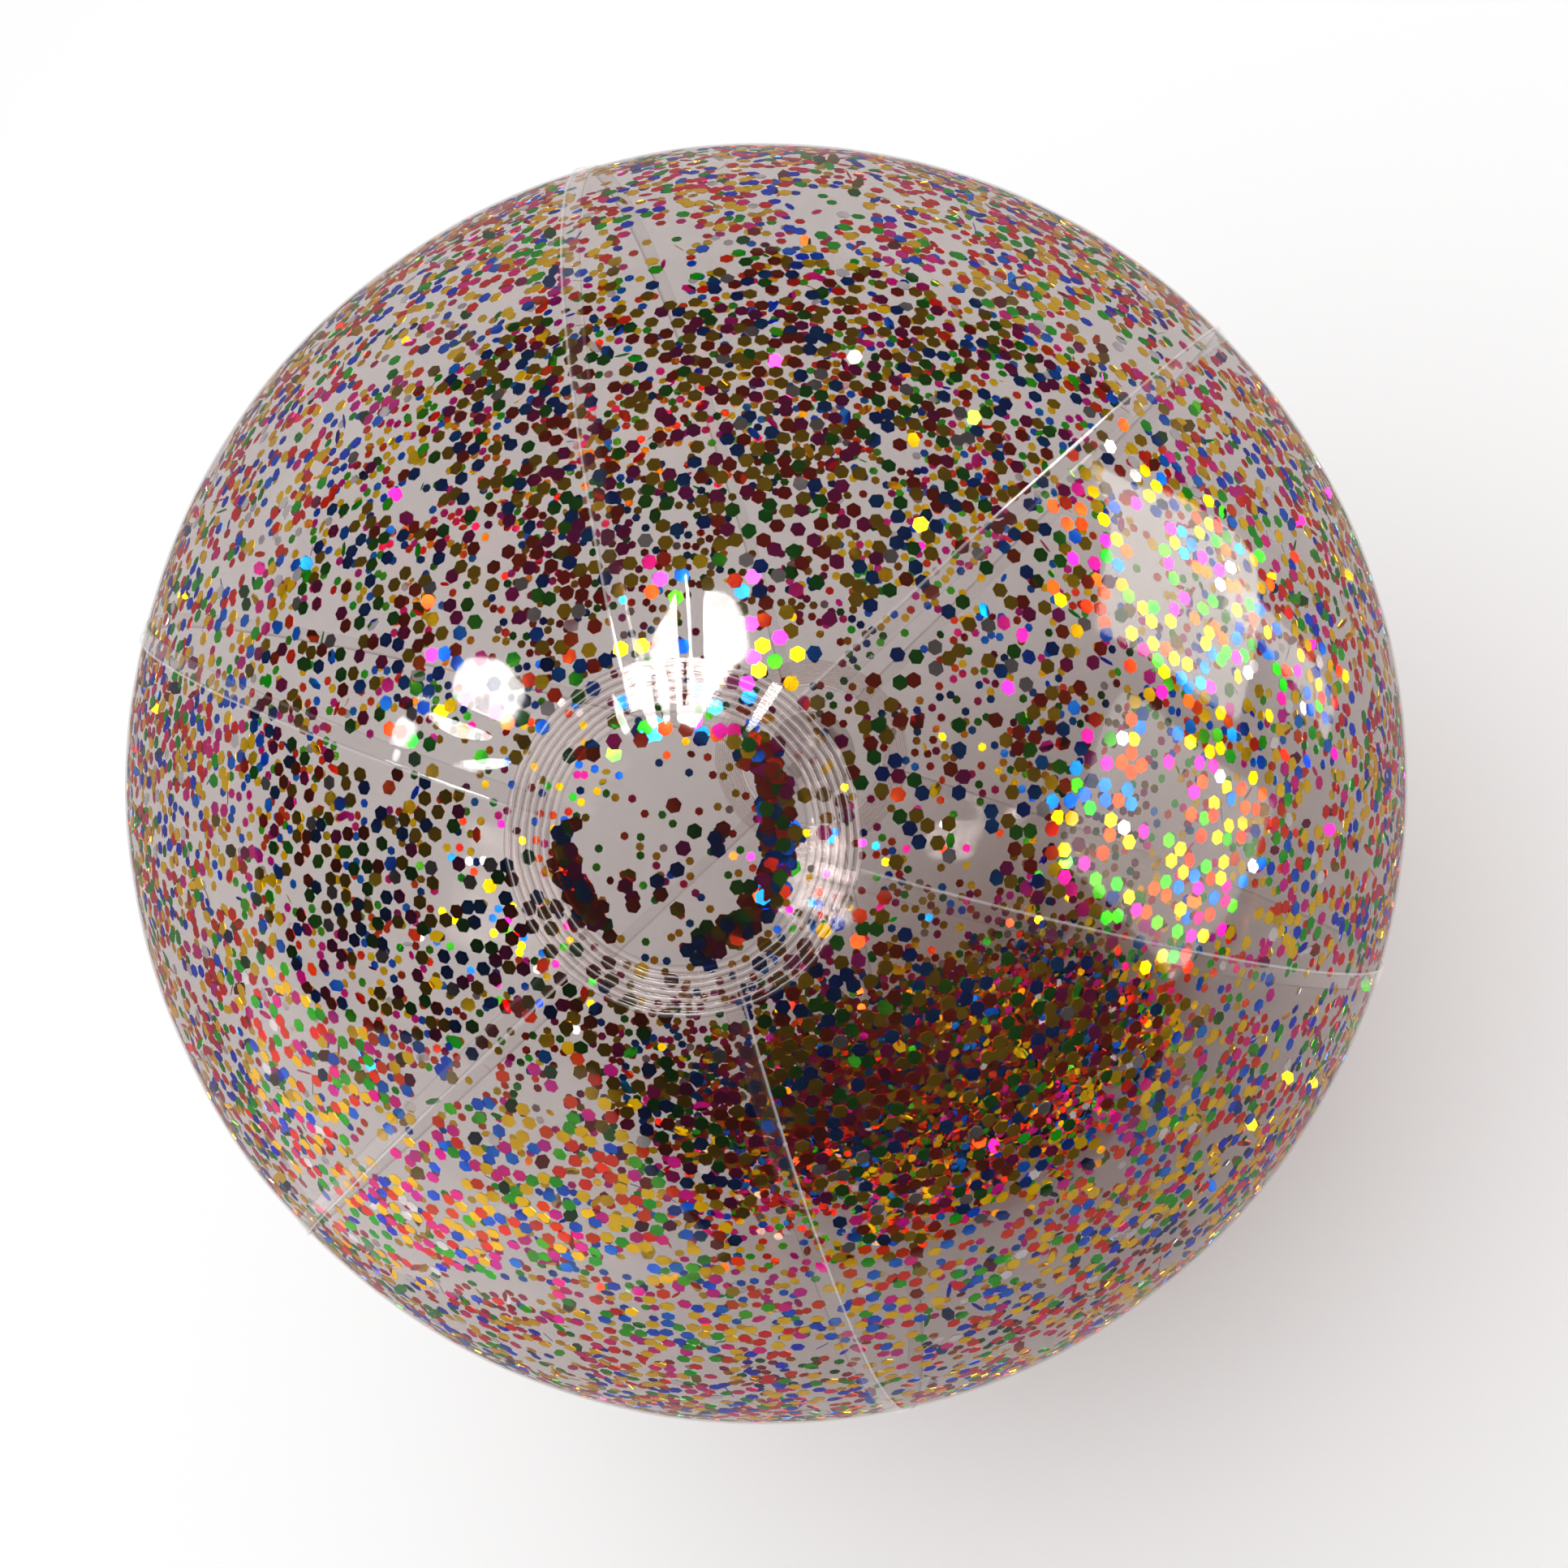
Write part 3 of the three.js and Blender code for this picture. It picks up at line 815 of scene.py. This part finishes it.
def glitter_density(direction):
    x, y, near = seen_at(direction)
    share = clumping(direction) * (1.0 if near else FAR_SHARE)
    for spot_x, spot_y, wide, high, gain in NEAR_SPOTS if near else FAR_SPOTS:
        share *= 1 + gain * math.exp(-(((x - spot_x) / wide) ** 2) - ((y - spot_y) / high) ** 2)
    if seam_distance(to_standing @ direction) < SEAM_CLEAR:
        share *= SEAM_SHARE
    if direction.dot(plain_end) > math.cos(patch_angle):
        share *= RING_SHARE
    if direction.dot(plain_end) > math.cos(opening_angle):
        share *= PLAIN_PATCH_SHARE
    return share


def any_direction():
    up = random.uniform(-1, 1)
    turn = random.uniform(0, 2 * math.pi)
    flat = math.sqrt(1 - up * up)
    return Vector((flat * math.cos(turn), flat * math.sin(turn), up))


def scattered(count):
    """Directions for clinging flakes, by density, with some room round each."""
    kept = []
    cells = {}
    while len(kept) < count:
        direction = any_direction()
        if random.uniform(0, MOST_DENSE) > glitter_density(direction):
            continue
        point = direction * BALL_RADIUS
        cell = tuple(int(math.floor(value / FLAKE_SPACING)) for value in point)
        around = [tuple(map(sum, zip(cell, step))) for step in neighbour_steps]
        others = [other for at in around for other in cells.get(at, [])]
        if any((point - other).length < FLAKE_SPACING for other in others):
            continue
        cells.setdefault(cell, []).append(point)
        kept.append(direction)
    return kept


random.seed(CLING_SEED)
clinging = scattered(CLINGING_FLAKES)
print("clinging flakes", len(clinging))

# %% [markdown]
# A clinging flake lies almost flat on the inner skin, and static holds a few of them on edge. The heap
# lies where the ball rests: its flakes are piled in a low mound, each at its own slant. More of them are
# caught in pockets along the weld of the plain patch, listed as lines of the photograph with a count and
# a spread in pixels. The shares of the colours differ: the pockets take more of the dark colours, as
# painted shade for the pockets, and the heap more of the warm ones. A flake that would come through the
# film is lifted until it clears it.

# %% Place of each flake
HEAP_FLAKES = 5600
HEAP_LONG = 0.038
HEAP_SHORT = 0.020
HEAP_HEIGHT = 0.0032
HEAP_SLANT = 7
HEAP_PIXEL = (1150, 1345)
HEAP_RIGHT_PIXEL = (1470, 1255)
HEAP_LEFT_PIXEL = (870, 1435)
POCKETS = [
    ([(925, 915), (955, 965), (963, 1040), (945, 1100), (905, 1148), (858, 1176)], 230, 11),
    ([(690, 1010), (696, 1060), (712, 1105), (742, 1142)], 60, 9),
    ([(705, 935), (765, 905), (850, 898), (905, 915)], 22, 9),
    ([(815, 1000), (850, 1030), (895, 1050)], 8, 12),
    ([(770, 1110), (800, 1085), (815, 1120)], 7, 12),
]
POCKET_SLANT = 4
POCKET_DEPTH = 0.0012
CLING_SLANT = 4.5
CLING_LIFT = 0.0002
ON_EDGE_SHARE = 0.10
ON_EDGE_SLANT = (12, 55)
FLAKE_TWIST = 1.05
PLACE_SEED = 23
COLOUR_SHARES = {"gold": 0.29, "red": 0.20, "blue": 0.17, "green": 0.15, "pink": 0.15, "silver": 0.04}
# More dark colours in the pockets: painted shade.
POCKET_PAINTED_SHADE_SHARES = {"gold": 0.09, "red": 0.24, "blue": 0.30, "green": 0.16, "pink": 0.19, "silver": 0.02}
HEAP_SHARES = {"gold": 0.27, "red": 0.30, "blue": 0.14, "green": 0.08, "pink": 0.17, "silver": 0.04}
heap_middle = on_ball(*HEAP_PIXEL, far=True)
heap_along = on_ball(*HEAP_RIGHT_PIXEL, far=True) - on_ball(*HEAP_LEFT_PIXEL, far=True)
heap_along = (heap_along - heap_middle * heap_along.dot(heap_middle)).normalized()


def flake_matrix(direction, slant, lift):
    """A flake under the film at a direction, slanted off it and lifted from it."""
    inside = BALL_RADIUS - FILM + film_height(to_standing @ direction)
    sink = FLAKE_RADIUS * math.sin(slant) + FLAKE_THICKNESS + lift
    point = BALL_CENTRE + direction * (inside - sink)
    normal = direction
    lowest = FILM + sink
    if point.z < lowest:
        point.z = lowest
        normal = Vector((0, 0, -1))
    turn = normal.to_track_quat("Z", "Y").to_matrix().to_4x4()
    spin = Matrix.Rotation(random.uniform(0, 2 * math.pi), 4, "Z")
    tilt = Matrix.Rotation(slant, 4, "X")
    twist = Matrix.Rotation(random.uniform(0, FLAKE_TWIST), 4, "Z")
    return Matrix.Translation(point) @ turn @ spin @ tilt @ twist


def small_slant(degrees):
    """The slant of a flake that lies nearly flat, most often less than the degrees given."""
    return math.radians(abs(random.gauss(0, degrees)))


def cling_slant():
    if random.random() < ON_EDGE_SHARE:
        return math.radians(random.uniform(*ON_EDGE_SLANT))
    return small_slant(CLING_SLANT)


def heap_place():
    across = heap_middle.cross(heap_along)
    far = random.gauss(0, 1)
    aside = random.gauss(0, 1)
    reach = heap_along * far * HEAP_LONG + across * aside * HEAP_SHORT
    direction = (heap_middle * BALL_RADIUS + reach).normalized()
    mound = math.exp(-(far * far + aside * aside) / 2)
    slant = small_slant(HEAP_SLANT)
    lift = random.uniform(0, HEAP_HEIGHT) * mound
    return flake_matrix(direction, slant, lift)


def pocket_places(line, count, jitter):
    """Flakes caught against the weld of the plain patch, along a line of the photograph."""
    for number in range(count):
        along = random.uniform(0, len(line) - 1.001)
        x, y = line[int(along)]
        next_x, next_y = line[int(along) + 1]
        share = along % 1
        x = x + (next_x - x) * share + random.gauss(0, jitter)
        y = y + (next_y - y) * share + random.gauss(0, jitter)
        slant = small_slant(POCKET_SLANT)
        lift = random.uniform(0, POCKET_DEPTH)
        yield flake_matrix(on_ball(x, y), slant, lift)


def draw_colour(shares):
    return random.choices(list(shares), weights=shares.values())[0]


random.seed(PLACE_SEED)
flakes = {colour: [] for colour in COLOUR_SHARES}
heap = {colour: [] for colour in COLOUR_SHARES}
for direction in clinging:
    colour = draw_colour(COLOUR_SHARES)
    slant = cling_slant()
    lift = random.uniform(0, CLING_LIFT)
    flakes[colour].append(flake_matrix(direction, slant, lift))
for pocket in POCKETS:
    for spot in pocket_places(*pocket):
        flakes[draw_colour(POCKET_PAINTED_SHADE_SHARES)].append(spot)
for number in range(HEAP_FLAKES):
    colour = draw_colour(HEAP_SHARES)
    heap[colour].append(heap_place())
print("flakes by colour", {colour: len(places) + len(heap[colour]) for colour, places in flakes.items()})

# %% [markdown]
# Foil is a thin mirror under a coloured lacquer: fully metallic, with a little roughness from handling.
# The lacquer is not quite even, so a fine noise shifts its colour from flake to flake and dulls it in
# places.

# %% Material of the foil
FOIL_COLOURS = {
    "gold": ((0.92, 0.64, 0.003), (0.80, 0.50, 0.002)),
    "red": ((0.80, 0.03, 0.012), (0.66, 0.09, 0.006)),
    "blue": ((0.006, 0.075, 0.70), (0.01, 0.22, 0.74)),
    "green": ((0.012, 0.42, 0.02), (0.10, 0.50, 0.012)),
    "pink": ((0.82, 0.015, 0.28), (0.56, 0.012, 0.34)),
    "silver": ((0.80, 0.80, 0.82), (0.64, 0.65, 0.70)),
}
FOIL_GRAIN = 160
LACQUER_RANGE = (0.38, 0.66)
SMOOTHEST = 0.08
ROUGHEST = 0.19


def foil(name, bright, deep):
    material = bpy.data.materials.new(name)
    material.use_nodes = True
    tree = material.node_tree
    shader = tree.nodes["Principled BSDF"]
    shader.inputs["Metallic"].default_value = 1
    shader.inputs["Specular Tint"].default_value = (*bright, 1)
    where = tree.nodes.new("ShaderNodeTexCoord")
    grain = add_node(tree, "ShaderNodeTexNoise", Scale=FOIL_GRAIN, Detail=2)
    tree.links.new(where.outputs["Object"], grain.inputs["Vector"])
    lacquer = colour_ramp(tree, grain.outputs["Fac"], LACQUER_RANGE, (bright, deep))
    tree.links.new(lacquer, shader.inputs["Base Color"])
    rub = add_node(tree, "ShaderNodeMapRange", To_Min=SMOOTHEST, To_Max=ROUGHEST)
    tree.links.new(grain.outputs["Fac"], rub.inputs["Value"])
    tree.links.new(rub.outputs["Result"], shader.inputs["Roughness"])
    return material


foils = {colour: foil(f"foil_{colour}_lacquer", *pair) for colour, pair in FOIL_COLOURS.items()}
print("foils", list(foils))

# %% [markdown]
# One flake is a six-sided prism from Blender's cylinder. Its points are read once, and all copies of a
# colour are written into one mesh, because thousands of separate objects would make the file slow to
# open.

# %% The glitter pieces
deselect_all()
bpy.ops.mesh.primitive_cylinder_add(vertices=6, radius=FLAKE_RADIUS, depth=FLAKE_THICKNESS)
pattern_flake = bpy.context.object
flake_points = np.array([[*point.co, 1] for point in pattern_flake.data.vertices])
flake_faces = [tuple(face.vertices) for face in pattern_flake.data.polygons]
bpy.data.objects.remove(pattern_flake)


def flake_piece(name, places):
    points = np.concatenate([(flake_points @ np.array(place_matrix).T)[:, :3] for place_matrix in places])
    count = len(flake_points)
    faces = [tuple(corner + count * i for corner in face) for i in range(len(places)) for face in flake_faces]
    mesh = bpy.data.meshes.new(name)
    mesh.from_pydata(points.tolist(), [], faces)
    piece = bpy.data.objects.new(name, mesh)
    bpy.context.scene.collection.objects.link(piece)
    return piece


for colour in COLOUR_SHARES:
    clings = flake_piece(f"clinging_{colour}_glitter", flakes[colour])
    finish_piece(clings, "ball", foils[colour])
    piled = flake_piece(f"piled_{colour}_glitter", heap[colour])
    finish_piece(piled, "ball", foils[colour], "glitter_heap")
    print(colour, len(flakes[colour]), "clinging,", len(heap[colour]), "piled")

for name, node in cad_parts.items():
    if name.startswith("flake_"):
        node.data.materials.clear()
        node.data.materials.append(foils[name.split("_")[1]])

# %% [markdown]
# The studio is a plain pale floor in a plain white room, lit by one wide softbox overhead, which gives
# the ball a soft shadow. The softbox is kept out of reflections, so that it lays no veil of light over
# the film. The floor is kept out of them too: it is nearly as white as the room, so the room stands for
# it.

# %% Floor, room and softbox
FLOOR_SIZE = 12
FLOOR_GREY = 0.95
FLOOR_ROUGHNESS = 0.9
ROOM_LIGHT = 1.0
SOFTBOX_POWER = 3.5
SOFTBOX_SIZE = 1.8
SOFTBOX_PLACE = (-0.2, 0.1, 1.7)


def matte(name, roughness):
    """A dull material, and its shader, to be given a colour."""
    material = bpy.data.materials.new(name)
    material.use_nodes = True
    shader = material.node_tree.nodes["Principled BSDF"]
    shader.inputs["Roughness"].default_value = roughness
    shader.inputs["Specular IOR Level"].default_value = 0
    return material, shader


deselect_all()
bpy.ops.mesh.primitive_plane_add(size=FLOOR_SIZE)
floor = bpy.context.object
floor.name = "studio_floor"
floor_finish, floor_shader = matte("pale_floor", FLOOR_ROUGHNESS)
floor_shader.inputs["Base Color"].default_value = (FLOOR_GREY, FLOOR_GREY, FLOOR_GREY, 1)
floor.data.materials.append(floor_finish)
floor.visible_glossy = False

world = bpy.data.worlds.new("white_room")
bpy.context.scene.world = world
world.use_nodes = True
room = world.node_tree.nodes["Background"]
room.inputs["Color"].default_value = (1, 1, 1, 1)
room.inputs["Strength"].default_value = ROOM_LIGHT

softbox_data = bpy.data.lights.new("overhead_softbox", "AREA")
softbox_data.shape = "SQUARE"
softbox_data.size = SOFTBOX_SIZE
softbox_data.energy = SOFTBOX_POWER
softbox = bpy.data.objects.new("overhead_softbox", softbox_data)
bpy.context.scene.collection.objects.link(softbox)
softbox.location = SOFTBOX_PLACE
softbox.visible_glossy = False
softbox.visible_camera = False
print("floor, room and softbox", [round(v, 2) for v in softbox.location])

# %% [markdown]
# Foil looks like what it mirrors. In a white room all of it would be bright, so photographers hang
# something dark round the camera, and foil that faces the lens then turns deep while foil near the ball's
# edge keeps the light of the room. This drape is half of a big sphere: a primitive, cut off by a plane,
# that only reflections see. A darker patch painted on it is the painted shade of a deep fold that its
# shape does not have, and it is placed by the pixel where the film would mirror it.

# %% The dark drape round the camera
DRAPE_RADIUS = 1.9
DRAPE_SEGMENTS = 48
DRAPE_RINGS = 24
DRAPE_REACH = math.radians(90)
DRAPE_LEAN = 0.1
DRAPE_TOWARDS = math.radians(112)
DRAPE_COLOUR = (0.135, 0.122, 0.118)
# Painted shade of a fold that the drape's shape does not have.
PAINTED_FOLD_SHADE = (0.035, 0.030, 0.030)
PAINTED_SHADE_PIXEL = (640, 1160)
PAINTED_SHADE_RANGE = (0.35, 0.85)
drape_lean = picture_right * math.cos(DRAPE_TOWARDS) + picture_up * math.sin(DRAPE_TOWARDS)
drape_axis = (to_camera + drape_lean * DRAPE_LEAN).normalized()
deselect_all()
bpy.ops.mesh.primitive_uv_sphere_add(
    segments=DRAPE_SEGMENTS, ring_count=DRAPE_RINGS, radius=DRAPE_RADIUS, location=BALL_CENTRE)
drape = bpy.context.object
drape.name = "dark_drape"
bpy.ops.object.mode_set(mode="EDIT")
cut = BALL_CENTRE + drape_axis * DRAPE_RADIUS * math.cos(DRAPE_REACH)
bpy.ops.mesh.bisect(plane_co=cut, plane_no=drape_axis, clear_inner=True)
bpy.ops.object.mode_set(mode="OBJECT")
drape_finish, drape_shader = matte("dark_felt_painted_fold", 1)
drape_tree = drape_finish.node_tree
drape_place = drape_tree.nodes.new("ShaderNodeTexCoord")
painted_shade_near = drape_tree.nodes.new("ShaderNodeVectorMath")
painted_shade_near.operation = "DOT_PRODUCT"
painted_shade_near.inputs[1].default_value = mirrored(PAINTED_SHADE_PIXEL) / DRAPE_RADIUS
drape_tree.links.new(drape_place.outputs["Object"], painted_shade_near.inputs[0])
# Painted fold shade: the felt darkens towards the pixel where the film mirrors it.
felt_and_painted_shade = colour_ramp(drape_tree, painted_shade_near.outputs["Value"], PAINTED_SHADE_RANGE, (DRAPE_COLOUR, PAINTED_FOLD_SHADE))
drape_tree.links.new(felt_and_painted_shade, drape_shader.inputs["Base Color"])
drape.data.materials.append(drape_finish)
drape.visible_camera = False
drape.visible_diffuse = False
drape.visible_transmission = False
drape.visible_shadow = False
print("drape", len(drape.data.polygons), "faces, round", [round(v, 2) for v in drape_axis])

# %% [markdown]
# Each highlight on the film is the mirror image of a lamp. So a lamp is put where the film at that place
# in the photograph mirrors it: the view ray is reflected about the surface and followed outwards. The
# windows at the right stand low beside the ball. All of these lamps show only as reflections, and the
# plain light of the room stays as it is.

# %% Lamps, placed by their reflections
STUDIO_AWAY = 1.1
WINDOW_AWAY = 0.45
LOW_AWAY = 0.20
LOW_LEFT_AWAY = 0.22
KEY_PIXEL = (860, 815)
LEFT_PIXEL = (590, 866)
FAR_LEFT_PIXEL = (500, 900)
RING_PIXEL = (1028, 1095)
WINDOW_PIXEL = (1457, 725)
WINDOW_STRIP_PIXEL = (1582, 800)
LOW_WINDOW_PIXEL = (1440, 1030)
LOW_LEFT_PIXEL = (560, 1460)
WHITE = (1, 1, 1)
KEY_WHITE = (1, 0.98, 0.95)
ROSY = (1, 0.9, 0.92)
DAYLIGHT = (1, 0.97, 0.92)
LOW_WHITE = (1, 0.97, 0.95)


def lamp(name, pixel, away, size, radiance, shape="ELLIPSE", colour=WHITE):
    """A lamp seen mirrored at a pixel; radiance is how bright its face is, with white paper at 1."""
    surface = on_ball(*pixel)
    out = mirrored(pixel)
    data = bpy.data.lights.new(name, "AREA")
    data.shape = shape
    data.size, data.size_y = size
    face = size[0] * size[1] * (math.pi / 4 if shape == "ELLIPSE" else 1)
    data.energy = math.pi * face * radiance
    data.color = colour
    made = bpy.data.objects.new(name, data)
    bpy.context.scene.collection.objects.link(made)
    made.location = BALL_CENTRE + surface * BALL_RADIUS + out * away
    made.rotation_mode = "QUATERNION"
    made.rotation_quaternion = out.to_track_quat("Z", "Y")
    made.visible_camera = False
    made.visible_diffuse = False
    print(name, "at", [round(v, 2) for v in made.location], round(data.energy, 2), "W")


lamp("key_lamp", KEY_PIXEL, STUDIO_AWAY, size=(0.46, 0.30), radiance=48, colour=KEY_WHITE)
lamp("left_lamp", LEFT_PIXEL, STUDIO_AWAY, size=(0.25, 0.22), radiance=34)
lamp("far_left_lamp", FAR_LEFT_PIXEL, STUDIO_AWAY, size=(0.10, 0.10), radiance=34)
lamp("ring_lamp", RING_PIXEL, STUDIO_AWAY, size=(0.10, 0.20), radiance=14, colour=ROSY)
lamp("window_lamp", WINDOW_PIXEL, WINDOW_AWAY, (0.24, 0.26), 12, "RECTANGLE", DAYLIGHT)
lamp("window_strip_lamp", WINDOW_STRIP_PIXEL, LOW_AWAY, (0.03, 0.12), 7, "RECTANGLE", DAYLIGHT)
lamp("low_window_lamp", LOW_WINDOW_PIXEL, LOW_AWAY, (0.13, 0.16), 6, "RECTANGLE", KEY_WHITE)
lamp("low_left_lamp", LOW_LEFT_PIXEL, LOW_LEFT_AWAY, (0.36, 0.24), 1.1, "RECTANGLE", LOW_WHITE)

# %% [markdown]
# Last come the settings that the picture needs: the plain view transform, and enough see-through steps
# for a ray that crosses film, glitter and film again.

# %% Settings
SEE_THROUGH_STEPS = 40
scene = bpy.context.scene
scene.view_settings.view_transform = "Standard"
scene.cycles.transparent_max_bounces = SEE_THROUGH_STEPS
